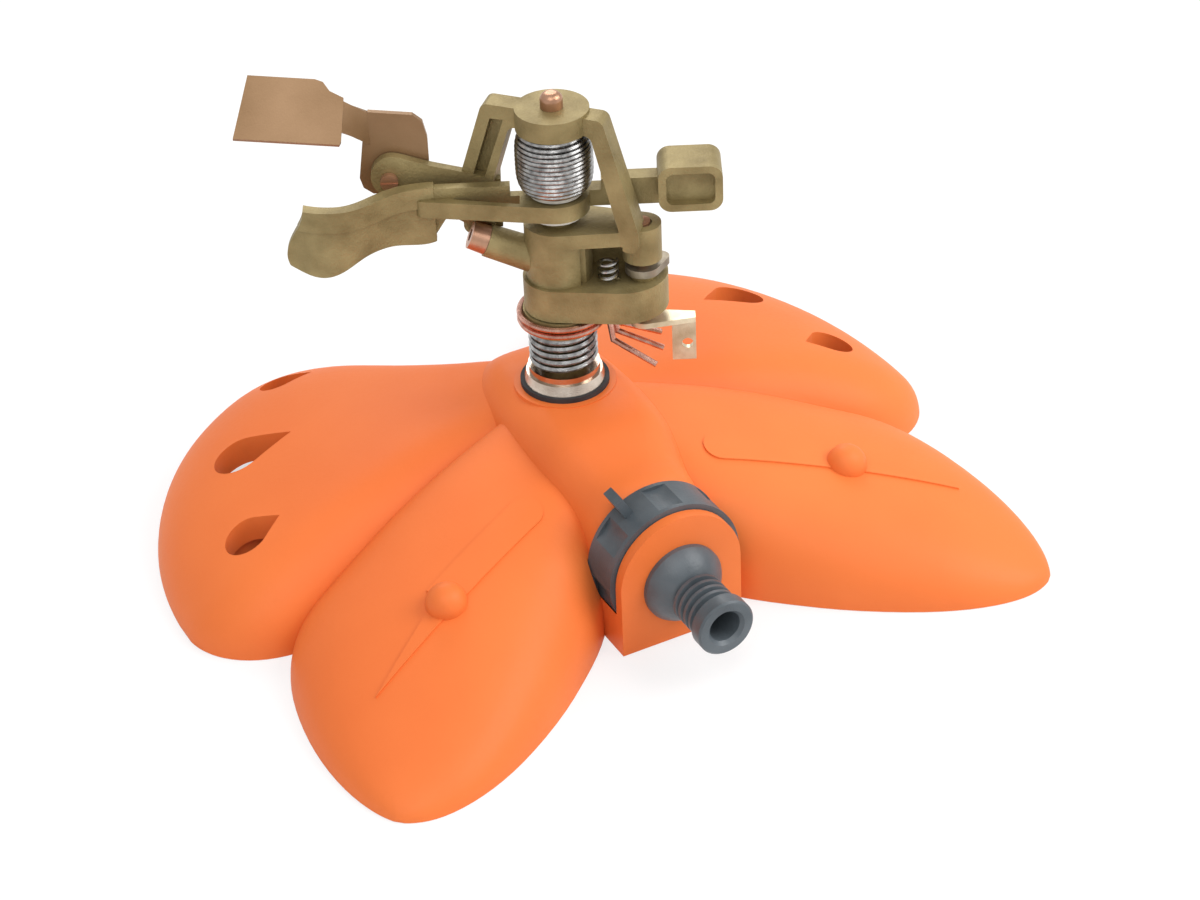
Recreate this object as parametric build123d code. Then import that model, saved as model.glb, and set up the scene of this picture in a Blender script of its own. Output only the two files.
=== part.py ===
from build123d import *
import os
from math import asin, cos, exp, pi, radians, sin

# Garden impulse sprinkler: a moulded four-wing base, a side inlet with a hose nipple,
# and a cast impact head that turns on a bearing in the middle of the base.
# Millimetres, +Z up, ground at z = 0, the head turns about the Z axis, the inlet faces -Y.

# Clearances
running = 0.08
seat_gap = 0.3
turn_gap = 0.35

# Wires and the seal are swept from polygons, which keeps them light
wire_sides = 8
coil_sides = 6

# Wings of the base
wall = 2.4
roll = 2.4
arch_points = 12
station_step = 10

rear_reach = 111.5
rear_crest = 36.5
rear_long = 2.0
rear_fall = 1.8
rear_ridge_root = 20.0
rear_ridge_tip = 4.0
rear_back = 77.0
rear_widest = 55.0
rear_shoulder = 6.6
rear_shoulder_reach = 17.0
rear_shoulder_shift = 13.0
rear_shoulder_back = 24.0
rear_front = 25.0
rear_front_full = 82.0

front_reach = 119.5
front_turn = -46.0
front_root_x = 12.0
front_root_y = -4.0
front_crest = 38.5
front_low = 14.2
front_long = 2.8
front_inner = 29.3
front_inner_full = 45.0
front_outer = 47.5
front_outer_full = 63.5
front_outer_root = 12.0
front_inner_root = 15.0
front_taper = 1.4
front_taper_end = 1.5
front_square = 4.2
front_square_reach = 0.42

# Bosses, bands and holes on the wings
ball_radius = 5.4
ball_x = 59.0
ball_y = -46.2
ball_height = 23.6
band_turn = -22.0
band_width = 9.5
band_length = 33.0
band_shift = 2.0
band_tail = 30.0
band_tail_width = 6.0
band_rise = 0.5
hole_lip = 8.0
hole_rim = 1.7

# The forms of the base start at their own depths below the ground, and are trimmed there
below = (-1.0, -1.5, -2.0, -2.5, -3.0, -3.5, -4.0, -5.0)

# Ribs under the base
rib_low = 4.0
rib_thick = 1.8
rib_along = 50.0
rib_front_length = 76.0
rib_rear_length = 80.0
rib_rear_x = 54.0
rib_rear_y = 16.0
rib_rear_turn = 4.0
rib_cross_y = 26.0
rib_cross_length = 34.0

# Drop-shaped holes, the right wing's; the left wing's are mirrored
hole_centres = ((52.4, 69.8), (74.4, 41.5), (87.9, 10.4))
hole_lengths = (15.0, 21.6, 15.3)
hole_widths = (10.5, 14.0, 11.8)
hole_turns = (23.6, 16.0, 6.0)

# Body of the base
body_square = 4.0
hub_half = 20.5
hub_top = 44.3
hub_front = -45.9
hub_back = 50.0
seat_radius = 12.8
seat_top = 44.6

# Inlet
inlet_half = 17.5
inlet_centre = 19.5
inlet_front = -61.5
front_plate = 3.0
ring_outer = 18.9
ring_inner = 13.2
ring_opening = 62.0
fin_turn = 30.0
fin_tip = 25.0
fin_thick = 2.6
fin_length = 6.0
grip_depth = 1.1
grip_count = 5
grip_step = 52.0
grip_shift = 30.0
grip_curve = 8.0
nipple_height = 17.5
socket_bore = 8.6
socket_depth = 13.5
duct_bore = 5.2
duct_wall = 2.6
nipple_end = -84.5
nipple_bore = 4.3
nipple_neck = 5.6
nipple_dome = 11.0
ridge_radius = 7.0
ridge_count = 4
cap_radius = 7.9
cap_length = 4.0
seal_section = 1.1

# Riser and bearing
thread_radius = 10.45
thread_bottom = 23.0
thread_pitch = 1.8
riser_wall = 3.2
chamber_radius = 9.2
chamber_floor = 8.0
chamber_wall = 2.4
gasket_radius = 11.8
gasket_thick = 1.4
gasket_bore = thread_radius + 0.2
nut_height = 4.6
nut_base = 10.9
nut_top = 10.1
nut_step = 2.6
nut_neck = 9.5
tube_outer = 6.0
tube_bore = 4.4
tube_flange = 8.5
tube_flange_thick = 2.4
washer_thick = 0.9
washer_count = 3
washer_radius = 8.3
bearing_coil = 8.25
bearing_wire = 0.85
bearing_turns = 5.0
bearing_space = 12.4
sleeve_radius = 10.1
sleeve_height = 4.9
sleeve_wall = 1.2

# Head casting, in its own frame: nozzle toward -X, then turned to its rest heading
heading = -27.0
column_radius = 8.7
flange_thick = 9.3
lobe_x = 16.5
lobe_radius = 11.6
deck_over = 11.95
deck_thick = 4.1
window_left = 5.4
window_back = -5.4
lug_x = 21.5
lug_y = -3.0
lug_radius = 5.1
lug_over = 5.85
lug_height = 9.6
web_thick = 2.6
web_y = 4.5
pivot_boss = 4.4
pivot_boss_rise = 2.1
barrel_rise = 23.0
barrel_root = 4.8
barrel_end = 4.3
barrel_over = 3.05
barrel_length = 19.8
barrel_bore = 3.1
tip_radius = 3.9
tip_length = 4.6
tip_bore = 1.9

# Bridge over the arm
bridge_turn = -18.0
bridge_half = 3.0
bridge_inside = 10.7
bridge_round = 2.2
bridge_thick = 5.6
bridge_room = 18.8
leg_left_top = 17.0
leg_left_low = 24.4
leg_left_bend = 17.2
leg_right_top = 13.5
leg_right_low = 22.5
leg_width = 6.4
leg_right_width = 5.2
leg_root = 1.5
leg_wall = 1.4
channel_depth = 3.4
boss_radius = 9.5
boss_dome = 1.2
pin_radius = 2.0
pin_head = 2.9
pin_over = 4.2
pin_round = 2.0

# Swing arm
arm_over = 1.5
arm_hub_height = 4.6
arm_hub_radius = 8.6
arm_bush_radius = 4.0
bar_half = 2.4
bar_rise = 3.0
bar_gap = 11.6
neck_x = -31.0
weight_near = 26.0
weight_length = 16.4
weight_over = 0.4
weight_height = 12.8
weight_front = -5.6
weight_back = 6.0
weight_round = 3.4
weight_recess = 2.2
blade_tip = -68.6
blade_thick = 2.2
blade_drop = 11.6
blade_rise = 8.0
blade_band_rise = 2.2
blade_band_thick = 3.3
vane_thick = 1.6
vane_drop = 8.7
vane_root = -27.0
vane_bend = -32.5
vane_end = -46.0
disc_radius = 7.0
disc_thick = 0.8

# Arm spring
arm_coil_mid = 9.4
arm_coil_end = 8.0
arm_wire = 0.62
arm_turns = 13

# Flap
flap_x = -42.3
flap_over = 7.8
bracket_root = -14.0
bracket_near = 3.7
bracket_thick = 2.4
flap_sheet = 1.5
flap_height = 18.4
flap_left = -48.6
flap_right = -32.0
paddle_length = 25.5
paddle_width = 17.0
paddle_tilt = 42.0
paddle_pitch = 6.5
paddle_x = -66.0
paddle_y = 1.0
paddle_over = 4.3
neck_near = 4.6
neck_far = 3.6
neck_tall = 9.6
screw_radius = 1.3
screw_head = 2.3

# Trip lever and stops
trip_pin = 1.5
cam_drop = 4.2
cam_thick = 2.1
foot_thick = 1.5
foot_drop = 3.2
tab_near = 28.6
tab_far = 34.8
tab_y = -4.4
tab_drop = 16.0
tab_hole = 1.5
collar_wire = 0.8
collar_radius = sleeve_radius + collar_wire + 0.1
collar_knee = 14.4
collar_knee_drop = 7.7
collar_reach = 26.4
collar_drop = 12.9
upper_ends = (-24.0, -6.0)
lower_ends = (11.0, 29.0)
small_coil = 2.4
small_wire = 0.45
small_turns = 3
small_length = 6.0

# Heights that follow from the sizes above
gasket_top = seat_top + gasket_thick
nut_top_z = gasket_top + nut_height
sleeve_low = nut_top_z + bearing_space
sleeve_top = sleeve_low + sleeve_height
flange_low = sleeve_top + turn_gap
flange_top = flange_low + flange_thick
washer_top = thread_bottom - 0.05
tube_flange_top = washer_top - washer_count * (washer_thick + 0.05)
tube_low = tube_flange_top - tube_flange_thick
ring_front = inlet_front + front_plate + seat_gap
ring_back = hub_front - seat_gap
barrel_height = flange_top + barrel_over
tube_top = barrel_height - 0.1
lug_low = flange_top + lug_over
lug_top = lug_low + lug_height
cam_low = lug_low - cam_drop
deck_low = flange_top + deck_over
deck_top = deck_low + deck_thick
pivot_boss_top = deck_top + pivot_boss_rise
arm_low = pivot_boss_top + arm_over
arm_hub_top = arm_low + arm_hub_height
bush_top = arm_hub_top + 0.3
bar_top = arm_hub_top + bar_rise
weight_low = arm_low + weight_over
weight_high = weight_low + weight_height
blade_low = arm_low - blade_drop
blade_high = arm_low + blade_rise
vane_low = arm_low - vane_drop
bridge_under = arm_hub_top + bridge_room
bridge_top = bridge_under + bridge_thick
leg_left_knee = bridge_top - leg_left_bend
leg_foot = deck_low - leg_root
pin_top = bridge_top + pin_over
flap_z = arm_low + flap_over
flap_top = flap_z + flap_height
paddle_z = flap_top + paddle_over
tab_low = flange_low - tab_drop


def ellipse_fall(share, power, end_power):
    """1 at share 0, falling to 0 at share 1."""
    share = min(max(share, 0.0), 1.0)
    return (1 - share**power) ** (1 / end_power)


def arch_curve(left, right, height, floor, square):
    """Points of an arch over a floor line, from the right foot to the left one."""
    points = []
    for k in range(arch_points + 1):
        across = cos(pi * k / arch_points)
        up = sin(pi * k / arch_points)
        size = (abs(across) ** square + abs(up) ** square) ** (-1 / square)
        side = right if across >= 0 else left
        points.append(Vector(side * size * across, floor + (height - floor) * size * up))
    return points


def arch_shares(left, right, height, square):
    """Where the points lie along a typical arch; one set for a loft keeps its surface light."""
    points = arch_curve(left, right, height, 0.0, square)
    lengths = [0.0]
    for start, end in zip(points, points[1:]):
        lengths.append(lengths[-1] + (end - start).length)
    return [length / lengths[-1] for length in lengths]


def arch_wire(plane, left, right, height, floor, square, shares):
    """Upright section of a wing or of the body: an arch over a flat floor line."""
    points = arch_curve(left, right, height, floor, square)
    arch = Edge.make_spline(points, parameters=shares)
    foot = Edge.make_line(points[-1], points[0])
    return (plane * Wire([arch, foot])).wire()


def stations():
    """Shares of the length, closer together toward the tip."""
    near = [0.0, 0.05, 0.1, 0.16, 0.24]
    steps = [sin(radians(station_step * k)) for k in range(2, 90 // station_step)]
    return near + steps + [0.9985]


def rear_wings(inset, floor):
    """Both rear wings in one form, shrunk by the inset, from tip to tip under the head."""
    reach = rear_reach - inset
    places = [reach * share for share in stations()]
    shares = arch_shares(rear_front, rear_back, rear_crest, roll)
    wires = []
    for x in [-place for place in reversed(places[1:])] + places:
        out = abs(x)
        near_hub = exp(-((out / rear_shoulder_reach) ** 2))
        crest = (rear_crest - inset) * ellipse_fall(out / reach, rear_long, rear_fall)
        crest += rear_shoulder * near_hub
        ridge = rear_ridge_root + (rear_ridge_tip - rear_ridge_root) * out / reach
        ridge -= rear_shoulder_shift * near_hub
        back = (rear_back - inset) * ellipse_fall((out - rear_widest) / (reach - rear_widest), 2, 2)
        if out < rear_widest:
            back = back * sin(pi / 2 * out / rear_widest) + rear_shoulder_back * near_hub
        past = (out - rear_front_full) / (reach - rear_front_full)
        front = (rear_front - inset) * ellipse_fall(past, 2, 2)
        plane = Plane(origin=(x, ridge, 0), x_dir=(0, 1, 0), z_dir=(1, 0, 0))
        wires.append(arch_wire(plane, front, back, crest, floor, roll, shares))
    return Solid.make_loft(wires)


def front_axis(along):
    """A point of the right front wing's axis, on the ground."""
    c = cos(radians(front_turn))
    s = sin(radians(front_turn))
    return (front_root_x + along * c, front_root_y + along * s, 0)


def front_wing(inset, floor):
    """Right front wing, shrunk by the inset, from inside the body to its tip."""
    reach = front_reach - inset
    c = cos(radians(front_turn))
    s = sin(radians(front_turn))
    shares = arch_shares(front_inner, front_outer, front_low * 2, (roll + front_square) / 2)
    wires = []
    for share in stations():
        along = reach * share
        square = roll + (front_square - roll) * max(0.0, 1 - share / front_square_reach)
        crest = front_crest + (front_low - front_crest) * share - inset
        crest *= ellipse_fall(share, front_long, 2)
        past = (along - front_outer_full) / (reach - front_outer_full)
        outer = front_outer * ellipse_fall(past, front_taper, front_taper_end)
        if along < front_outer_full:
            grow = 1 - (1 - along / front_outer_full) ** 1.6
            outer = front_outer_root + (front_outer - front_outer_root) * grow
        past = (along - front_inner_full) / (reach - front_inner_full)
        inner = front_inner * ellipse_fall(past, 2, 2)
        if along < front_inner_full:
            grow = 1 - (1 - along / front_inner_full) ** 2
            inner = front_inner_root + (front_inner - front_inner_root) * grow
        narrow = inset * ellipse_fall(share, 4, 2)
        plane = Plane(origin=front_axis(along), x_dir=(-s, c, 0), z_dir=(c, s, 0))
        wires.append(arch_wire(plane, inner - narrow, outer - narrow, crest, floor, square, shares))
    return Solid.make_loft(wires)


def body(inset, floor):
    """Body between the wings, highest under the head and low at the back."""
    front_top = inlet_centre + inlet_half + 0.3
    # Each section's place along Y, half width, top and squareness
    shape = [
        (hub_front + inset, inlet_half + 0.3, front_top, 3.0),
        (-38, inlet_half + 0.8, front_top + 1.6, 3.6),
        (-31, hub_half - 1.6, hub_top - 3.4, 4.4),
        (-24, hub_half - 0.7, hub_top - 0.9, 5.2),
        (-16, hub_half - 0.1, hub_top, 5.6),
        (6, hub_half, hub_top, 5.6),
        (18, hub_half - 0.8, hub_top - 0.8, 4.6),
        (32, hub_half - 4.0, hub_top - 9.5, 3.0),
        (43, hub_half - 8.0, hub_top - 24.0, 2.6),
        (hub_back - inset, 5.0 + inset * 0.6, 6.0 + inset * 0.6, 2.4),
    ]
    shares = arch_shares(hub_half, hub_half, hub_top, body_square)
    wires = []
    for y, half, top, square in shape:
        plane = Plane(origin=(0, y, 0), x_dir=(-1, 0, 0), z_dir=(0, 1, 0))
        wires.append(arch_wire(plane, half - inset, half - inset, top - inset, floor, square, shares))
    return Solid.make_loft(wires)


def corner_box(x0, x1, y0, y1, z0, z1):
    """Plain box between two corners."""
    return Pos((x0 + x1) / 2, (y0 + y1) / 2, (z0 + z1) / 2) * Box(x1 - x0, y1 - y0, z1 - z0)


def upright(radius, z0, z1, x=0.0, y=0.0):
    """Vertical cylinder between two heights."""
    return Pos(x, y, (z0 + z1) / 2) * Cylinder(radius, z1 - z0)


def tube(outer, inner, z0, z1, x=0.0, y=0.0):
    """Vertical pipe between two heights."""
    return upright(outer, z0, z1, x, y) - upright(inner, z0 - 1, z1 + 1, x, y)


def along_inlet(radius, y0, y1, height):
    """Cylinder along Y about the inlet's axis height."""
    return Pos(0, (y0 + y1) / 2, height) * Rot(90, 0, 0) * Cylinder(radius, y1 - y0)


def teardrop(width, length, grow):
    """Drop outline about its middle: a round end outward, a point toward the body."""
    big = width / 2 + grow
    reach = length - width / 2 + grow * 1.6
    lean = asin(big / reach)
    touch = (-big * sin(lean), big * cos(lean))
    with BuildSketch() as drop:
        with BuildLine():
            Polyline((touch[0], touch[1]), (-reach, 0), (touch[0], -touch[1]))
            ThreePointArc((touch[0], -touch[1]), (big, 0), (touch[0], touch[1]))
        make_face()
    return Pos(length / 2 - width / 2, 0) * drop.sketch


def mirror_x(shape):
    """The same piece on the left side."""
    return shape.mirror(Plane.YZ)


def wing_holes(grow):
    """Drop-shaped prisms through the right rear wing."""
    prisms = []
    for centre, length, width, turn in zip(hole_centres, hole_lengths, hole_widths, hole_turns):
        drop = extrude(teardrop(width, length, grow), amount=60)
        prisms.append(Pos(centre[0], centre[1], 0) * Rot(0, 0, turn) * drop)
    return prisms


def d_block(half, centre, y0, y1, floor):
    """Inlet block: an arch over straight sides, along Y."""
    with BuildSketch(Plane(origin=(0, y0, 0), x_dir=(-1, 0, 0), z_dir=(0, 1, 0))) as sketch:
        with Locations((0, (centre + floor) / 2)):
            Rectangle(2 * half, centre - floor)
        with Locations((0, centre)):
            Circle(half)
    return extrude(sketch.sketch, amount=y1 - y0)


def left_half(shape):
    """The part of a shape on the -X side of the middle plane."""
    return shape & Pos(-200, 0, 0) * Box(400, 400, 400)


def wing_boss():
    """Raised band on the left front wing: round at the hub, thinning to a point past the ball."""
    side = band_width / 2
    with BuildSketch() as outline:
        with BuildLine():
            ThreePointArc((-band_length, side), (-band_length - side, 0), (-band_length, -side))
            Polyline((-band_length, -side), (0, -side), (band_tail, -side),
                     (0, band_tail_width - side), (0, side), (-band_length, side))
        make_face()
    strip = extrude(Pos(0, band_shift) * outline.sketch, amount=80)
    strip = Pos(ball_x, ball_y, 0) * Rot(0, 0, band_turn) * strip
    return mirror_x(front_wing(-band_rise, below[1] - 0.2) & strip)


def base_form():
    """Left half of the moulding, still solid: wings, body, inlet block, seat, band and ball."""
    block = d_block(inlet_half, inlet_centre, inlet_front, hub_front + 4, below[3])
    form = left_half(body(0, below[0]))
    form = form + left_half(mirror_x(front_wing(0, below[1])))
    form = form + left_half(rear_wings(0, below[2]))
    form = form + left_half(block)
    form = form + left_half(upright(seat_radius, hub_top - 8, seat_top))
    form = form + wing_boss()
    return form + Pos(-ball_x, ball_y, ball_height) * Sphere(ball_radius)


def base_hollow():
    """What is taken out from below, with the deep lips of the drop-shaped holes left standing."""
    rear = left_half(rear_wings(wall, below[6]))
    deep = rear_wings(hole_lip, below[7])
    for prism in wing_holes(hole_rim):
        rear = rear - (mirror_x(prism) - deep)
    return [body(wall, below[4]), mirror_x(front_wing(wall, below[5])), rear]


def underside(form):
    """Riser, duct and ribs under the left half, kept inside the moulding's form."""
    riser = upright(thread_radius + riser_wall, thread_bottom - 4, seat_top)
    chamber = upright(chamber_radius + chamber_wall, chamber_floor - chamber_wall, thread_bottom)
    duct = along_inlet(duct_bore + duct_wall, hub_front - 1, 0, nipple_height)
    front_mid = front_axis(rib_along)
    front_rib = Pos(-front_mid[0], front_mid[1], rib_low + 20) * Rot(0, 0, -front_turn)
    front_rib = front_rib * Box(rib_front_length, rib_thick, 40)
    rear_rib = Pos(-rib_rear_x, rib_rear_y, rib_low + 20) * Rot(0, 0, -rib_rear_turn)
    rear_rib = rear_rib * Box(rib_rear_length, rib_thick, 40)
    cross = Pos(0, rib_cross_y, rib_low + 20) * Box(rib_cross_length, rib_thick, 40)
    ribs = [rib & form for rib in (front_rib, rear_rib, cross)]
    return [left_half(extra) for extra in (riser, chamber, duct)] + ribs


def base_cuts():
    """Everything that is cut out of the finished moulding."""
    cuts = [mirror_x(hole) for hole in wing_holes(0.0)]
    ring_slot = along_inlet(ring_outer + seat_gap, inlet_front + front_plate, hub_front, inlet_centre)
    ring_slot = ring_slot - along_inlet(ring_inner - seat_gap, inlet_front, hub_front + 1, inlet_centre)
    cuts.append(ring_slot)
    socket_end = inlet_front + socket_depth + 0.3
    cuts.append(along_inlet(socket_bore, inlet_front - 1, socket_end, nipple_height))
    cuts.append(along_inlet(duct_bore, socket_end - 1, 0, nipple_height))
    cuts.append(upright(chamber_radius, chamber_floor, thread_bottom + 1))
    cuts.append(upright(thread_radius + running, thread_bottom, seat_top + 1))
    return cuts


def make_base():
    """The left half is hollowed, stiffened and cut, and then mirrored."""
    form = base_form()
    half = form
    for hollow in base_hollow():
        half = half - hollow
    for extra in underside(form):
        half = half + extra
    for cut in base_cuts():
        half = half - cut
    half = half - Pos(-100, 0, -20) * Box(240, 300, 40)
    return half + mirror_x(half)


def make_ring():
    """Lock ring that snaps over the inlet neck: open below, with one thumb fin."""
    ring = along_inlet(ring_outer, ring_front, ring_back, inlet_centre)
    ring = ring - along_inlet(ring_inner, ring_front - 1, ring_back + 1, inlet_centre)
    opening = Pos(0, (ring_front + ring_back) / 2, inlet_centre - ring_outer)
    half = ring_inner * sin(radians(ring_opening / 2))
    ring = ring - opening * Box(2 * half, 40, 2 * (ring_outer - ring_inner + 4))
    # Shallow finger panels between low ridges; they keep their turn from the fin
    for k in range(grip_count):
        turn = (k - grip_count // 2) * grip_step + grip_shift - fin_turn
        middle = (ring_front + ring_back) / 2
        cutter = Rot(90, 0, 0) * Cylinder(grip_curve, ring_back - ring_front - 2.4)
        cutter = Pos(0, middle, ring_outer + grip_curve - grip_depth) * cutter
        ring = ring - Pos(0, 0, inlet_centre) * Rot(0, turn, 0) * cutter
    fin_height = fin_tip - ring_inner - 1.2
    fin = Pos(0, ring_back - fin_length / 2, ring_inner + 1.2 + fin_height / 2)
    fin = fin * Box(fin_thick, fin_length, fin_height)
    ring = ring + Pos(0, 0, inlet_centre) * Rot(0, -fin_turn, 0) * fin
    return ring


def make_nipple():
    """Quick-connect hose nipple: domed flange, ridged barrel and an end collar."""
    length = inlet_front - nipple_end
    ridge_from = length - cap_length - 1.2
    pitch = 2.5
    groove = 6.0
    with BuildSketch(Plane.XZ) as half:
        with BuildLine():
            a = Polyline(
                (nipple_bore, -socket_depth),
                (socket_bore - 0.12, -socket_depth),
                (socket_bore - 0.12, -groove - 2.4),
                (socket_bore - 2.3, -groove - 2.4),
                (socket_bore - 2.3, -groove),
                (socket_bore - 0.12, -groove),
                (socket_bore - 0.12, 0.05),
                (nipple_dome, 0.05),
                (nipple_dome, 1.4),
            )
            b = ThreePointArc(a @ 1, (nipple_dome - 2.0, 4.6), (nipple_neck, 7.4))
            stops = []
            for k in range(ridge_count):
                at = ridge_from - (ridge_count - k) * pitch
                stops += [(nipple_neck + 0.2, at), (ridge_radius, at + 0.35)]
                stops += [(ridge_radius, at + 1.35), (nipple_neck + 0.2, at + 1.7)]
            stops += [(nipple_neck + 0.2, length - cap_length - 0.8)]
            stops += [(cap_radius - 0.2, length - cap_length - 0.2), (cap_radius, length - cap_length)]
            stops += [(cap_radius, length - 0.5), (cap_radius - 0.5, length)]
            stops += [(nipple_bore + 0.9, length), (nipple_bore, length - 1.0)]
            Polyline((b @ 1), *stops, (nipple_bore, -socket_depth))
        make_face()
    turned = revolve(half.sketch, Axis.Z)
    return Pos(0, inlet_front, nipple_height) * Rot(90, 0, 0) * turned


def make_seal():
    """Ring seal in the nipple's groove."""
    centre = inlet_front + 6.0 + 1.2
    section = Plane.XZ * Pos(socket_bore - seal_section - 0.05, 0) * RegularPolygon(seal_section, wire_sides)
    return Pos(0, centre, nipple_height) * Rot(90, 0, 0) * revolve(section, Axis.Z)


def make_gasket():
    """Flat gasket under the bearing nut."""
    return tube(gasket_radius, gasket_bore, seat_top, gasket_top)


def make_nut():
    """Bearing nut: thread in the base, tapered collar and neck above it."""
    collar = Pos(0, 0, gasket_top + nut_step / 2) * Cone(nut_base, nut_top, nut_step)
    collar = collar + upright(nut_neck, gasket_top + nut_step / 2, nut_top_z)
    nut = collar + upright(thread_radius - 0.9, thread_bottom, gasket_top)
    turns = int((seat_top - thread_bottom) / thread_pitch)
    for k in range(turns):
        z = thread_bottom + (k + 0.5) * thread_pitch
        low = Pos(0, 0, z - 0.35) * Cone(thread_radius - 0.9, thread_radius, 0.7)
        high = Pos(0, 0, z + 0.35) * Cone(thread_radius, thread_radius - 0.9, 0.7)
        nut = nut + low + high
    return nut - upright(tube_outer + running, thread_bottom - 1, nut_top_z + 1)


def make_tube():
    """Bearing tube with its lower flange; it turns with the head."""
    pipe = tube(tube_outer, tube_bore, tube_low, tube_top)
    return pipe + tube(tube_flange, tube_bore, tube_low, tube_flange_top)


def make_washers():
    """Stack of bearing washers under the nut."""
    washers = []
    for k in range(washer_count):
        low = tube_flange_top + 0.03 + k * (washer_thick + 0.05)
        washers.append(tube(washer_radius, tube_outer + running, low, low + washer_thick))
    return Compound(children=washers)


def coil(radius_at, wire, z0, z1, turns):
    """Round-wire coil whose radius follows a function of its share of the height."""
    steps = int(turns * 10)
    points = []
    for k in range(steps + 1):
        share = k / steps
        turn = 2 * pi * turns * share
        radius = radius_at(share)
        points.append((radius * cos(turn), radius * sin(turn), z0 + (z1 - z0) * share))
    path = Spline(points)
    start = path @ 0
    plane = Plane(origin=start, z_dir=path % 0)
    section = plane * RegularPolygon(wire, coil_sides)
    return sweep(section, path=path, is_frenet=True)


def make_bearing_spring():
    """Short compression spring between the bearing nut and the sleeve."""
    z0 = nut_top_z + bearing_wire + 0.1
    z1 = sleeve_low - bearing_wire - 0.1
    return coil(lambda share: bearing_coil, bearing_wire, z0, z1, bearing_turns)


def make_sleeve():
    """Cup over the spring that carries the two stop collars."""
    cup = tube(sleeve_radius, tube_outer + 0.25, sleeve_low, sleeve_top)
    return cup - tube(sleeve_radius - sleeve_wall, tube_outer + sleeve_wall + 0.25,
                      sleeve_low - 1, sleeve_top - sleeve_wall)


def bent_wire(points, radius):
    """Wire along a row of points, mitred at each bend."""
    path = Polyline(*points)
    section = Plane(origin=points[0], z_dir=path % 0) * RegularPolygon(radius, wire_sides)
    return sweep(section, path=path, transition=Transition.RIGHT)


def make_collar(level, ends):
    """Stop collar: a wire ring round the sleeve with two ends bent out and down."""
    low_end, high_end = ends
    section = Plane.XZ * Pos(collar_radius, level) * RegularPolygon(collar_wire, wire_sides)
    ring = Rot(0, 0, high_end) * revolve(section, Axis.Z, 360 - high_end + low_end)

    def spot(radius, turn, z):
        return (radius * cos(radians(turn)), radius * sin(radians(turn)), z)

    for turn in ends:
        points = [
            spot(collar_radius, turn, level),
            spot(collar_radius + 2.4, turn, level - 0.2),
            spot(collar_knee, turn, sleeve_top - collar_knee_drop),
            spot(collar_reach, turn, sleeve_top - collar_drop),
        ]
        ring = ring + bent_wire(points, collar_wire)
    return ring


def bridge_outline():
    """Outer and inner corners of the bridge, seen from its side."""
    outer = [
        (-leg_left_low, leg_foot),
        (-leg_left_low, leg_left_knee - 3.6),
        (-leg_left_top - 0.6, bridge_top + 0.4),
        (leg_right_top + 0.4, bridge_top - 1.0),
        (leg_right_low, leg_foot + 6),
        (leg_right_low, leg_foot),
    ]
    inner = [
        (leg_right_low - leg_right_width, leg_foot),
        (leg_right_low - leg_right_width, leg_foot + 6),
        (bridge_inside, bridge_under),
        (-bridge_inside, bridge_under),
        (-leg_left_low + leg_width + 2.4, leg_left_knee - 4),
        (-leg_left_low + leg_width + 2.0, leg_foot),
    ]
    return outer + inner


def make_bridge():
    """Arch over the arm, with a channel in each leg."""
    with BuildSketch(Plane.XZ) as outline:
        with BuildLine():
            FilletPolyline(*bridge_outline(), radius=bridge_round, close=True)
        make_face()
    arch = extrude(outline.sketch, amount=bridge_half, both=True)
    # Channel in the near side of the left leg and in the far side of the right leg
    for side, outer_low, outer_top, width in (
        (-1, leg_left_low - 1.8, leg_left_top, leg_width),
        (1, leg_right_low - 1.8, leg_right_top, leg_right_width),
    ):
        low = leg_left_knee - 4
        high = bridge_top - 3.6
        with BuildSketch(Plane.XZ.offset(-side * bridge_half)) as channel:
            with BuildLine():
                Polyline(
                    (side * (outer_low - leg_wall), low),
                    (side * (outer_top - leg_wall), high),
                    (side * (outer_top - width + leg_wall), high),
                    (side * (outer_low - width + leg_wall + 0.4), low),
                    close=True,
                )
            make_face()
        arch = arch - extrude(channel.sketch, amount=channel_depth, both=True)
    return Rot(0, 0, bridge_turn) * arch


def barrel_plane(along):
    """Plane across the nozzle barrel at a distance from the head's axis."""
    c = cos(radians(barrel_rise))
    s = sin(radians(barrel_rise))
    return Plane(origin=(-along * c, 0, barrel_height + along * s), x_dir=(0, 1, 0), z_dir=(-c, 0, s))


def barrel_piece(r0, r1, a0, a1):
    """Cone or cylinder along the barrel."""
    lower = barrel_plane(a0) * Circle(r0)
    upper = barrel_plane(a1) * Circle(r1)
    return Solid.make_loft([lower.face().outer_wire(), upper.face().outer_wire()])


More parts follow.
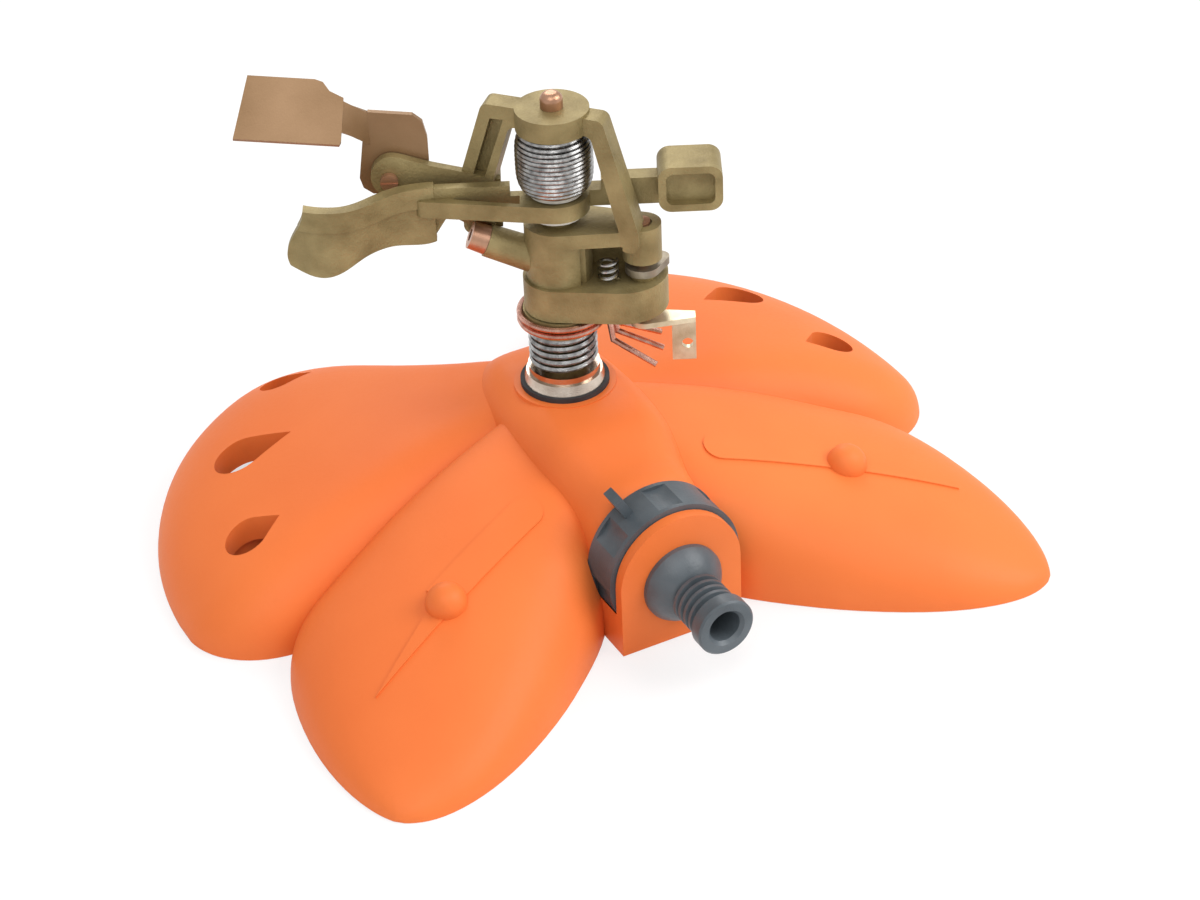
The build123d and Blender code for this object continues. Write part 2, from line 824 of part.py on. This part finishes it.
def make_casting():
    """Cast head: flange, column, lug, nozzle barrel, bridge and flap bracket in one."""
    with BuildSketch(Plane.XY.offset(flange_low)) as foot:
        Circle(column_radius + 0.9)
        with Locations((lobe_x, 0)):
            Circle(lobe_radius)
        make_hull()
    cast = extrude(foot.sketch, amount=flange_thick)
    cast = cast + upright(column_radius, flange_low, deck_top)
    with BuildSketch(Plane.XY.offset(deck_low)) as deck:
        Circle(column_radius)
        with Locations((lug_x, lug_y)):
            Circle(lug_radius)
        make_hull()
    cast = cast + extrude(deck.sketch, amount=deck_top - deck_low)
    cast = cast + upright(lug_radius, lug_low, lug_top, lug_x, lug_y)
    web = corner_box(6, lug_x, web_y, web_y + web_thick, flange_top - 1, deck_low + 1)
    cast = cast + web
    cast = cast + upright(pivot_boss, deck_top - 1, pivot_boss_top)
    cast = cast + barrel_piece(barrel_root, barrel_end, 2, barrel_length)
    cast = cast + make_bridge()
    boss = upright(boss_radius, bridge_under, bridge_top)
    cast = cast + boss
    # Plate that carries the flap's screw, beside the nozzle
    with BuildSketch(Plane.XZ.offset(-bracket_near - bracket_thick)) as plate:
        with BuildLine():
            top = Spline(
                (bracket_root, flap_z - 1.0),
                (flap_x + 18.3, flap_z + 1.7),
                (flap_x + 6.0, flap_z + 5.3),
                (flap_x - 0.5, flap_z + 6.6),
                (flap_x - 4.0, flap_z + 3.6),
                (flap_x - 4.2, flap_z - 1.6),
                (flap_x - 1.0, flap_z - 4.8),
                (flap_x + 8.3, flap_z - 7.0),
            )
            Polyline(top @ 1, (flap_x + 20.3, deck_low + 0.5), (bracket_root, deck_low + 0.5), top @ 0)
        make_face()
    cast = cast + extrude(plate.sketch, amount=bracket_thick)
    # Window in the front of the column, beside the lever's spring
    window = corner_box(window_left, lug_x - lug_radius, -20, window_back, flange_top, deck_low)
    cast = cast - window
    cast = cast + upright(trip_pin + 1.8, flange_top - 0.5, cam_low - 0.3, lug_x, lug_y)
    # Room for the nozzle tip and for the head of the lever's pin
    tip_room = tip_radius + 0.5
    cast = cast - barrel_piece(tip_room, tip_room, barrel_length, barrel_length + tip_length + 4)
    cast = cast - upright(2.7, lug_top, lug_top + 1.6, lug_x, lug_y)
    # Waterway, pin holes and screw hole
    cast = cast - upright(tube_outer + 0.03, flange_low - 1, tube_top + 0.5)
    cast = cast - upright(tube_bore, tube_top, barrel_height + 4)
    cast = cast - barrel_piece(barrel_bore, barrel_bore, 0, barrel_length + 2)
    cast = cast - upright(pin_radius + running, deck_low - 1, bridge_top + 2)
    cast = cast - upright(trip_pin + running, flange_low - 1, lug_top + 1, lug_x, lug_y)
    screw = Pos(flap_x, 0, flap_z) * Rot(90, 0, 0) * Cylinder(screw_radius, 60)
    cast = cast - screw
    return cast


def make_tip():
    """Nozzle tip at the end of the barrel."""
    shank = barrel_bore - 0.04
    shape = barrel_piece(tip_radius, tip_radius - 0.3, barrel_length + 0.05, barrel_length + tip_length)
    shape = shape + barrel_piece(shank, shank, barrel_length - 7, barrel_length + 0.1)
    return shape - barrel_piece(tip_bore, tip_bore - 0.3, barrel_length - 8, barrel_length + tip_length + 1)


def make_pin():
    """Fulcrum pin through the bridge, the spring and the arm."""
    pin = upright(pin_radius, deck_low, bridge_top + boss_dome)
    head = upright(pin_head, bridge_top + 0.05, pin_top)
    return pin + fillet(head.edges().group_by(Axis.Z)[-1], pin_round)


def arm_plan():
    """Plan of the arm's hub end: a straight back edge and a bulged near edge."""
    with BuildSketch(Plane.XY.offset(arm_low)) as plan:
        Circle(arm_hub_radius)
        with Locations((neck_x - 3, -0.9)):
            Circle(1.7)
        make_hull()
    return plan.sketch


def blade_path():
    """Plan line of the spoon blade, from the neck to its tip."""
    return Spline([(neck_x, 0, 0), (-43, -3.5, 0), (-53.5, -10.5, 0), (-63, -9.5, 0), (-69.5, -7.6, 0)],
                  tangents=[(-1, 0, 0), (-1, 0.1, 0)])


def blade_wall(thick, low, high):
    """Upright wall along the blade's plan line."""
    path = Pos(0, 0, low) * blade_path()
    plane = Plane(origin=path @ 0, x_dir=(0, 1, 0), z_dir=(-1, 0, 0))
    with BuildSketch(plane) as section:
        with Locations((0, -(high - low) / 2)):
            Rectangle(thick, high - low)
    return sweep(section.sketch, path=path)


def make_blade():
    """Curved upright blade that the jet strikes, with a thicker upper band."""
    blade = blade_wall(blade_thick, blade_low, blade_high)
    blade = blade + blade_wall(blade_band_thick, arm_low + blade_band_rise, blade_high)
    with BuildSketch(Plane.XZ) as side:
        with BuildLine():
            tip = Spline(
                (blade_tip + 4.9, blade_high + 0.5),
                (blade_tip + 3.6, blade_high - 4.5),
                (blade_tip + 1.0, blade_low + 10.2),
                (blade_tip, blade_low + 7.4),
                (blade_tip + 0.4, blade_low + 3.0),
            )
            lower = Spline(
                tip @ 1,
                (blade_tip + 4.0, blade_low + 1.2),
                (blade_tip + 9.0, blade_low + 0.4),
                (blade_tip + 14.4, blade_low + 2.2),
                (blade_tip + 20.0, blade_low + 4.9),
                (blade_tip + 27.0, blade_low + 4.4),
                (neck_x - 3.5, blade_low + 3.0),
                (neck_x + 1, blade_low + 4.2),
            )
            Polyline(lower @ 1, (neck_x + 1, blade_high + 0.5), tip @ 0)
        make_face()
    return blade & extrude(side.sketch, amount=30, both=True)


def make_arm():
    """Swing arm in one casting: hub, bar, counterweight, blade and vane."""
    arm = extrude(arm_plan(), amount=arm_hub_top - arm_low)
    keep = corner_box(neck_x - 5, 20, -20, 1.2, arm_low - 1, arm_hub_top + 1)
    arm = arm & (keep + upright(arm_hub_radius, arm_low - 1, arm_hub_top + 1))
    # Pocket between the back bar and the near rib
    with BuildSketch(Plane.XY.offset(arm_low - 1)) as pocket:
        with BuildLine():
            Polyline((-9.2, -1.4), (-26, -1.4), (-26, -1.8), (-9.2, -5.6), close=True)
        make_face()
    arm = arm - extrude(pocket.sketch, amount=8)
    left_bar = corner_box(neck_x - 1, -bar_gap, -1.4, 1.2, arm_low, bar_top)
    right_bar = corner_box(5, weight_near + 2, 0, 2 * bar_half, arm_low, arm_hub_top)
    tall_bar = corner_box(bar_gap, weight_near + 2, 0, 2 * bar_half, arm_low, bar_top)
    arm = arm + left_bar + right_bar + tall_bar
    weight = corner_box(weight_near, weight_near + weight_length, weight_front, weight_back,
                       weight_low, weight_high)
    weight = fillet(weight.edges().filter_by(Axis.Y), weight_round)
    recess = corner_box(weight_near + 2, weight_near + weight_length - 2, weight_front - 1,
                       weight_front + weight_recess, weight_low + 2, weight_high - 2)
    recess = fillet(recess.edges().filter_by(Axis.Y), weight_round - 1.6)
    arm = arm + (weight - recess)
    arm = arm + make_blade()
    with BuildSketch(Plane.XZ) as vane:
        with BuildLine():
            Polyline((vane_end, vane_low), (vane_bend, vane_low), (vane_root, arm_low),
                     (vane_root, arm_low + 2), (vane_end, arm_low + 2), close=True)
        make_face()
    arm = arm + Pos(0, 0.9, 0) * extrude(vane.sketch, amount=vane_thick / 2, both=True)
    return arm - upright(arm_bush_radius + 0.03, arm_low - 1, arm_hub_top + 1)


def make_bush():
    """Bush in the arm's hub."""
    return tube(arm_bush_radius, pin_radius + running, arm_low - 0.35, bush_top)


def make_discs():
    """Thin washers under and over the arm."""
    low = tube(disc_radius, pin_radius + running, pivot_boss_top + 0.05, pivot_boss_top + 0.05 + disc_thick)
    high = tube(disc_radius, pin_radius + running, bush_top + 0.05, bush_top + 0.05 + disc_thick)
    return Compound(children=[low, high])


def make_arm_spring():
    """Barrel-shaped torsion spring between the arm and the bridge."""
    def radius(share):
        return arm_coil_end + (arm_coil_mid - arm_coil_end) * (1 - (2 * share - 1) ** 4)
    z0 = bush_top + disc_thick + 0.25 + arm_wire
    return coil(radius, arm_wire, z0, bridge_under - arm_wire - 0.25, arm_turns)


def flap_place():
    """Where the paddle of the flap lies."""
    return Pos(paddle_x, paddle_y, paddle_z) * Rot(0, paddle_pitch, 0) * Rot(paddle_tilt, 0, 0)


def make_flap():
    """Bent sheet flap: pivot plate, neck and paddle."""
    near = bracket_near + bracket_thick + seat_gap
    with BuildSketch(Plane.XZ.offset(-near - flap_sheet)) as plate:
        with BuildLine():
            Polyline(
                (flap_left, flap_top - 9),
                (flap_left - 1.4, flap_z - 0.5),
                (flap_left - 0.6, flap_z - 3.4),
                (flap_left + 1.8, flap_z - 5.2),
                (flap_x + 1.5, flap_z - 5.4),
                (flap_right - 3.0, flap_z - 1.5),
                (flap_right, flap_z + 3.0),
                (flap_right, flap_top - 8),
                (flap_right - 1.0, flap_top - 3.4),
                (flap_right - 3.4, flap_top - 1.3),
                (flap_left + 2.0, flap_top),
                close=True,
            )
        make_face()
    sheet = extrude(plate.sketch, amount=flap_sheet)
    half_length = paddle_length / 2
    half_width = paddle_width / 2
    with BuildSketch() as leaf:
        with BuildLine():
            Polyline(
                (-half_length - 0.4, -half_width),
                (half_length + 0.6, -half_width),
                (half_length + 1.0, -half_width + 1.0),
                (half_length + 1.0, 4.0),
                (half_length - 2.6, 5.6),
                (half_length - 4.4, half_width - 0.6),
                (half_length - 6.4, half_width),
                (-half_length + 2.2, half_width),
                close=True,
            )
        make_face()
    place = flap_place()
    paddle = place * extrude(leaf.sketch, amount=flap_sheet / 2, both=True)
    corners = []
    for side, up in ((-neck_near, -0.4), (neck_far, -0.4), (neck_far, 0.4), (-neck_near, 0.4)):
        corners.append((place * Pos(half_length, side, up * flap_sheet)).position)
    far = near + 0.9 * flap_sheet
    close_side = near + 0.1 * flap_sheet
    ends = [
        Vector(flap_left + 2.2, far, flap_top - neck_tall),
        Vector(flap_left + 2.2, far, flap_top - 0.4),
        Vector(flap_left + 2.2, close_side, flap_top - 0.4),
        Vector(flap_left + 2.2, close_side, flap_top - neck_tall),
    ]
    neck = Solid.make_loft([Wire.make_polygon(corners), Wire.make_polygon(ends)], ruled=True)
    flap = sheet + paddle + neck
    hole = Pos(flap_x, 0, flap_z) * Rot(90, 0, 0) * Cylinder(screw_radius + running, 60)
    return flap - hole


def make_screw():
    """Pivot screw of the flap, from the near side of the bracket."""
    near = bracket_near
    far = bracket_near + bracket_thick + 2 * seat_gap + flap_sheet
    shank = Pos(flap_x, (near + far + 2.4) / 2, flap_z) * Rot(90, 0, 0)
    shank = shank * Cylinder(screw_radius - 0.02, far + 2.4 - near + 0.4)
    head = Pos(flap_x, near - 0.85, flap_z) * Rot(90, 0, 0) * Cylinder(screw_head, 1.6)
    slot = Pos(flap_x, near - 1.7, flap_z) * Box(8, 0.9, 0.6)
    return shank + (head - slot)


def make_flap_nut():
    """Nut behind the flap."""
    far = bracket_near + bracket_thick + 2 * seat_gap + flap_sheet
    hexagon = extrude(RegularPolygon(3.2, 6), 1.1, both=True)
    nut = Pos(flap_x, far + 1.1, flap_z) * Rot(90, 0, 0) * hexagon
    return nut - Pos(flap_x, far, flap_z) * Rot(90, 0, 0) * Cylinder(screw_radius, 12)


def make_cam():
    """Upper plate of the trip lever, in the slot under the lug."""
    with BuildSketch(Plane.XY.offset(cam_low)) as plan:
        with Locations((lug_x, lug_y)):
            Circle(4.6)
        with Locations((lug_x + 4.6, lug_y + 3.5)):
            Circle(2.4)
        make_hull()
    plate = extrude(plan.sketch, amount=cam_thick)
    return plate - upright(trip_pin, cam_low - 1, cam_low + 5, lug_x, lug_y)


def make_trip_foot():
    """Lower plate of the trip lever with its end bent down."""
    top = flange_low - foot_drop
    low = top - foot_thick
    with BuildSketch(Plane.XY.offset(low)) as plan:
        with Locations((lug_x, lug_y)):
            Circle(3.8)
        with Locations(((tab_near + tab_far) / 2, tab_y + 1.6)):
            Rectangle(tab_far - tab_near, 3.2)
        make_hull()
    plate = extrude(plan.sketch, amount=foot_thick)
    tab = corner_box(tab_near, tab_far, tab_y, tab_y + foot_thick, tab_low, top)
    hole = Pos(tab_far - 2.2, tab_y, tab_low + 5.0) * Rot(90, 0, 0) * Cylinder(tab_hole, 8)
    foot = plate + tab - hole
    return foot - upright(trip_pin, low - 1, top + 1, lug_x, lug_y)


def make_trip_pin():
    """Pin through the lug and the flange that joins the two trip plates."""
    low = flange_low - foot_drop - foot_thick - 0.8
    pin = upright(trip_pin - 0.02, low, lug_top + 1.0, lug_x, lug_y)
    return pin + upright(2.3, lug_top + 0.1, lug_top + 1.1, lug_x, lug_y)


def make_trip_spring():
    """Small coil beside the lug that holds the trip lever over."""
    start = flange_top + seat_gap + small_wire
    body_coil = coil(lambda share: small_coil, small_wire, start, start + small_length, small_turns)
    return Pos(12.6, -5.2, 0) * body_coil


os.makedirs("parts", exist_ok=True)


def turned(shape):
    """Head pieces at their rest heading."""
    return Rot(0, 0, heading) * shape


pieces = {
    "base_shell": make_base,
    "lock_ring": make_ring,
    "hose_nipple": make_nipple,
    "nipple_seal": make_seal,
    "hub_gasket": make_gasket,
    "bearing_nut": make_nut,
    "bearing_washers": make_washers,
    "bearing_spring": make_bearing_spring,
    "collar_sleeve": make_sleeve,
}
head_pieces = {
    "stop_collar_upper": lambda: make_collar(sleeve_top - 1.1, upper_ends),
    "stop_collar_lower": lambda: make_collar(sleeve_top - 3.1, lower_ends),
    "bearing_tube": make_tube,
    "head_casting": make_casting,
    "nozzle_tip": make_tip,
    "fulcrum_pin": make_pin,
    "swing_arm": make_arm,
    "arm_bush": make_bush,
    "arm_washers": make_discs,
    "arm_spring": make_arm_spring,
    "range_flap": make_flap,
    "flap_screw": make_screw,
    "flap_nut": make_flap_nut,
    "trip_cam": make_cam,
    "trip_foot": make_trip_foot,
    "trip_pin": make_trip_pin,
    "trip_spring": make_trip_spring,
}
for name, make in pieces.items():
    export_step(make(), f"parts/{name}.step")
for name, make in head_pieces.items():
    export_step(turned(make()), f"parts/{name}.step")
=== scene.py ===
from math import radians

import bmesh
import bpy
from mathutils import Matrix, Vector

# Looks of a garden impulse sprinkler: satin orange moulding, cast olive-brass head,
# copper-toned flap, bright springs. Metres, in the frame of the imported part.

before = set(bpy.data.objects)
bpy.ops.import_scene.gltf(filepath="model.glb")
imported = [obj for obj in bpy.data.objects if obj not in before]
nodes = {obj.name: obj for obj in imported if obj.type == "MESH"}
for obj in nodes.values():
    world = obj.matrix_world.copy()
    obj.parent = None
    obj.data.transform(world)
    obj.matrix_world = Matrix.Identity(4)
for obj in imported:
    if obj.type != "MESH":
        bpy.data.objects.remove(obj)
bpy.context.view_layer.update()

# Camera, from the fit to the photograph
camera_place = (-0.3064, -0.6230, 0.5007)
camera_right = (0.8800, -0.4736, -0.0355)
camera_forward = (0.3721, 0.7339, -0.5682)
camera_lens = 94.016
sensor_width = 36.0
camera_nearest = 0.05
camera_farthest = 20

# Light, in watts and metres
world_strength = 0.66
key_place = (0.9, -0.6, 1.0)
key_size = 0.9
key_power = 13.5
fill_place = (-0.45, -0.65, 1.2)
fill_size = 1.0
fill_power = 7
back_place = (0.45, 1.1, 1.0)
back_size = 0.8
back_power = 7
front_aim = (0, 0, 0.03)
back_aim = (0, 0, 0.05)

# Floor
floor_half = 6.0
floor_cells = 4
floor_drop = 0.0002
floor_colour = (0.92, 0.92, 0.92, 1)
floor_rough = 0.9
floor_glow_share = 0.7
white = (1, 1, 1, 1)

# Surfaces
crease_angle = 32
deep_until = 0.32
lit_from = 0.68
grain_detail = 4
grain_height = 0.0004
coat_rough = 0.25

# Colours, linear: each surface drifts between a deep tone and a lit one
orange_deep = (0.72, 0.150, 0.030, 1)
orange_lit = (0.80, 0.190, 0.042, 1)
grey_deep = (0.050, 0.062, 0.072, 1)
grey_lit = (0.105, 0.125, 0.140, 1)
rubber_deep = (0.012, 0.012, 0.014, 1)
rubber_lit = (0.035, 0.033, 0.034, 1)
bronze_deep = (0.210, 0.158, 0.064, 1)
bronze_lit = (0.350, 0.275, 0.125, 1)
copper_deep = (0.400, 0.215, 0.130, 1)
copper_lit = (0.610, 0.350, 0.235, 1)
flap_deep = (0.230, 0.130, 0.058, 1)
flap_lit = (0.310, 0.185, 0.094, 1)
steel_deep = (0.240, 0.235, 0.230, 1)
steel_lit = (0.560, 0.555, 0.545, 1)
nut_deep = (0.420, 0.330, 0.260, 1)
nut_lit = (0.700, 0.610, 0.520, 1)
wire_deep = (0.480, 0.230, 0.170, 1)
wire_lit = (0.740, 0.430, 0.340, 1)
tab_deep = (0.560, 0.470, 0.300, 1)
tab_lit = (0.800, 0.720, 0.520, 1)
lever_deep = (0.200, 0.165, 0.120, 1)
lever_lit = (0.400, 0.345, 0.260, 1)
pale_deep = (0.520, 0.490, 0.420, 1)
pale_lit = (0.700, 0.670, 0.600, 1)


def two_tone(name, deep, lit, scale, detail, rough, metallic, bump, bump_scale, coat=0.0, shine=0.5):
    """Material whose colour drifts between two tones, with a fine grain in height and roughness."""
    material = bpy.data.materials.new(name)
    material.use_nodes = True
    tree = material.node_tree
    tree.nodes.clear()
    link = tree.links.new
    out = tree.nodes.new("ShaderNodeOutputMaterial")
    shader = tree.nodes.new("ShaderNodeBsdfPrincipled")
    place = tree.nodes.new("ShaderNodeTexCoord")
    drift = tree.nodes.new("ShaderNodeTexNoise")
    drift.inputs["Scale"].default_value = scale
    drift.inputs["Detail"].default_value = detail
    ramp = tree.nodes.new("ShaderNodeValToRGB")
    ramp.color_ramp.elements[0].position = deep_until
    ramp.color_ramp.elements[0].color = deep
    ramp.color_ramp.elements[1].position = lit_from
    ramp.color_ramp.elements[1].color = lit
    grain = tree.nodes.new("ShaderNodeTexNoise")
    grain.inputs["Scale"].default_value = bump_scale
    grain.inputs["Detail"].default_value = grain_detail
    surface = tree.nodes.new("ShaderNodeBump")
    surface.inputs["Strength"].default_value = bump
    surface.inputs["Distance"].default_value = grain_height
    span = tree.nodes.new("ShaderNodeMapRange")
    span.inputs["To Min"].default_value = rough[0]
    span.inputs["To Max"].default_value = rough[1]
    link(place.outputs["Object"], drift.inputs["Vector"])
    link(place.outputs["Object"], grain.inputs["Vector"])
    link(drift.outputs["Fac"], ramp.inputs["Fac"])
    link(grain.outputs["Fac"], surface.inputs["Height"])
    link(grain.outputs["Fac"], span.inputs["Value"])
    link(ramp.outputs["Color"], shader.inputs["Base Color"])
    link(span.outputs["Result"], shader.inputs["Roughness"])
    link(surface.outputs["Normal"], shader.inputs["Normal"])
    shader.inputs["Metallic"].default_value = metallic
    shader.inputs["Coat Weight"].default_value = coat
    shader.inputs["Coat Roughness"].default_value = coat_rough
    shader.inputs["Specular IOR Level"].default_value = shine
    link(shader.outputs["BSDF"], out.inputs["Surface"])
    return material


def dress(finish, names):
    """Gives CAD nodes one material, smooth but for their creases."""
    for name in names:
        mesh = nodes[name].data
        mesh.materials.clear()
        mesh.materials.append(finish)
        for face in mesh.polygons:
            face.use_smooth = True
        mesh.set_sharp_from_angle(angle=radians(crease_angle))


# Plastic and rubber
orange = two_tone("orange_moulding", orange_deep, orange_lit, scale=14, detail=3, rough=(0.50, 0.62),
                  metallic=0, bump=0.10, bump_scale=900, coat=0.03, shine=0.25)
grey = two_tone("grey_moulding", grey_deep, grey_lit, scale=60, detail=4, rough=(0.34, 0.50),
                metallic=0, bump=0.16, bump_scale=1600, coat=0.05)
rubber = two_tone("black_rubber", rubber_deep, rubber_lit, scale=160, detail=3, rough=(0.62, 0.80),
                  metallic=0, bump=0.20, bump_scale=2400)
pale = two_tone("bearing_plastic", pale_deep, pale_lit, scale=200, detail=3, rough=(0.40, 0.55),
                metallic=0, bump=0.10, bump_scale=2400)
dress(orange, ["base_shell"])
dress(grey, ["lock_ring", "hose_nipple"])
dress(rubber, ["nipple_seal", "hub_gasket"])
dress(pale, ["bearing_washers", "arm_bush", "arm_washers"])

# Cast and turned metal
bronze = two_tone("cast_bronze", bronze_deep, bronze_lit, scale=110, detail=6, rough=(0.42, 0.62),
                  metallic=0.55, bump=0.45, bump_scale=1500)
copper = two_tone("copper_turned", copper_deep, copper_lit, scale=160, detail=4, rough=(0.26, 0.44),
                  metallic=0.85, bump=0.12, bump_scale=2600)
nut = two_tone("bright_nut", nut_deep, nut_lit, scale=140, detail=3, rough=(0.14, 0.26),
               metallic=1.0, bump=0.08, bump_scale=3000)
dress(bronze, ["collar_sleeve", "bearing_tube", "head_casting", "swing_arm"])
dress(copper, ["nozzle_tip", "fulcrum_pin", "flap_screw", "flap_nut", "trip_pin"])
dress(nut, ["bearing_nut"])

# Stamped sheet
flap = two_tone("flap_sheet", flap_deep, flap_lit, scale=40, detail=4, rough=(0.38, 0.54),
                metallic=0.45, bump=0.12, bump_scale=1800)
tab = two_tone("yellow_sheet", tab_deep, tab_lit, scale=200, detail=4, rough=(0.26, 0.44),
               metallic=0.70, bump=0.15, bump_scale=2600)
lever = two_tone("lever_sheet", lever_deep, lever_lit, scale=150, detail=5, rough=(0.30, 0.52),
                 metallic=0.80, bump=0.20, bump_scale=2400)
dress(flap, ["range_flap"])
dress(tab, ["trip_foot"])
dress(lever, ["trip_cam"])

# Wire
steel = two_tone("spring_wire", steel_deep, steel_lit, scale=500, detail=3, rough=(0.16, 0.32),
                 metallic=1.0, bump=0.10, bump_scale=4000)
wire = two_tone("copper_wire", wire_deep, wire_lit, scale=400, detail=3, rough=(0.18, 0.34),
                metallic=1.0, bump=0.10, bump_scale=4000)
dress(steel, ["bearing_spring", "arm_spring", "trip_spring"])
dress(wire, ["stop_collar_upper", "stop_collar_lower"])


def larger(tree, first, second):
    """Output that gives the larger of two."""
    node = tree.nodes.new("ShaderNodeMath")
    node.operation = "MAXIMUM"
    tree.links.new(first, node.inputs[0])
    tree.links.new(second, node.inputs[1])
    return node.outputs[0]


def floor_paint():
    """Pale floor; the camera and the reflections see it mostly as a lit white sheet, under the shadow."""
    paint = bpy.data.materials.new("floor_paint")
    paint.use_nodes = True
    tree = paint.node_tree
    shader = tree.nodes["Principled BSDF"]
    shader.inputs["Base Color"].default_value = floor_colour
    shader.inputs["Roughness"].default_value = floor_rough
    glow = tree.nodes.new("ShaderNodeEmission")
    glow.inputs["Color"].default_value = white
    glow.inputs["Strength"].default_value = 1.0
    path = tree.nodes.new("ShaderNodeLightPath")
    seen = larger(tree, path.outputs["Is Camera Ray"], path.outputs["Is Glossy Ray"])
    seen = larger(tree, seen, path.outputs["Is Transmission Ray"])
    share = tree.nodes.new("ShaderNodeMath")
    share.operation = "MULTIPLY"
    share.inputs[1].default_value = floor_glow_share
    mix = tree.nodes.new("ShaderNodeMixShader")
    tree.links.new(seen, share.inputs[0])
    tree.links.new(share.outputs[0], mix.inputs[0])
    tree.links.new(shader.outputs[0], mix.inputs[1])
    tree.links.new(glow.outputs[0], mix.inputs[2])
    tree.links.new(mix.outputs[0], tree.nodes["Material Output"].inputs["Surface"])
    return paint


floor_mesh = bpy.data.meshes.new("floor")
build = bmesh.new()
bmesh.ops.create_grid(build, x_segments=floor_cells, y_segments=floor_cells, size=floor_half)
build.to_mesh(floor_mesh)
build.free()
floor_mesh.materials.append(floor_paint())
floor = bpy.data.objects.new("floor", floor_mesh)
floor.location = (0, 0, -floor_drop)
bpy.context.scene.collection.objects.link(floor)


def soft_lamp(name, place, aim, size, power):
    """Square area lamp that looks at a point."""
    lamp = bpy.data.lights.new(name, "AREA")
    lamp.shape = "SQUARE"
    lamp.size = size
    lamp.energy = power
    holder = bpy.data.objects.new(name, lamp)
    holder.location = place
    holder.rotation_euler = (Vector(aim) - Vector(place)).to_track_quat("-Z", "Y").to_euler()
    bpy.context.scene.collection.objects.link(holder)


world = bpy.data.worlds.new("studio")
bpy.context.scene.world = world
world.use_nodes = True
background = world.node_tree.nodes["Background"]
background.inputs["Color"].default_value = white
background.inputs["Strength"].default_value = world_strength
soft_lamp("key", key_place, front_aim, key_size, key_power)
soft_lamp("fill", fill_place, front_aim, fill_size, fill_power)
soft_lamp("back", back_place, back_aim, back_size, back_power)

# Camera, with its axes from the fitted directions
camera_data = bpy.data.cameras.new("camera")
camera_data.lens = camera_lens
camera_data.sensor_width = sensor_width
camera_data.clip_start = camera_nearest
camera_data.clip_end = camera_farthest
camera = bpy.data.objects.new("camera", camera_data)
right = Vector(camera_right).normalized()
forward = Vector(camera_forward).normalized()
up = right.cross(forward).normalized()
turn = Matrix((right, up, -forward)).transposed()
camera.matrix_world = Matrix.Translation(camera_place) @ turn.to_4x4()
bpy.context.scene.collection.objects.link(camera)
bpy.context.scene.camera = camera
bpy.context.scene.view_settings.view_transform = "Standard"
